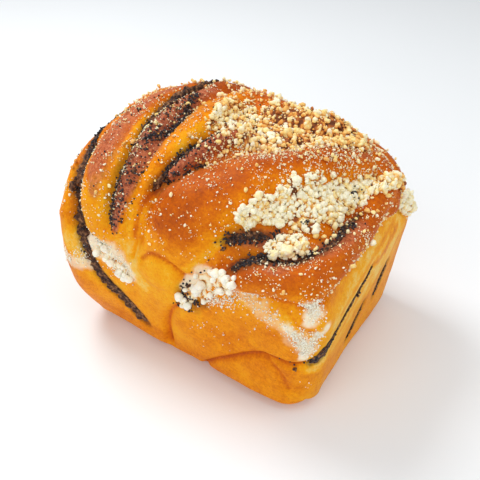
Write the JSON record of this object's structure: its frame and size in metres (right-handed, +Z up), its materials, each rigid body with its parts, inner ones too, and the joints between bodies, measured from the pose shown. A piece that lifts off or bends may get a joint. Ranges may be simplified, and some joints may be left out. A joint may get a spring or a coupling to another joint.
{
  "type": "poppy seed roll",
  "caption": "Braided poppy seed roll baked in a small loaf tin, with dark filling layers in its cuts and crumbly streusel on top; a filled sweet bread.",
  "frame": {"origin": "on the flat base, under the middle of the tin shape", "axes": "+Z up, +X along the loaf's long side towards its lower end, -Y the side that shows in the picture"},
  "size_m": [0.1634, 0.1306, 0.125],
  "materials": {
    "dough": "glossy golden brown crust on top, matt golden yellow tin sides, pale creamy dough where strands part",
    "poppy_filling": "nearly black poppy seed paste with whole seeds",
    "streusel": "dry pale crumbs, cream to light gold"
  },
  "bodies": {
    "root": {"dough": "dough", "filling_left": "poppy_filling", "filling_ridge": "poppy_filling", "filling_fold": "poppy_filling", "filling_pocket": "poppy_filling", "filling_crevice": "poppy_filling", "filling_end_upper": "poppy_filling", "filling_end_long": "poppy_filling", "filling_end_low": "poppy_filling", "streusel_crest": "streusel", "streusel_crevice": "streusel", "streusel_near": "streusel", "streusel_front": "streusel", "streusel_left": "streusel", "streusel_end": "streusel"}
  },
  "joints": []
}
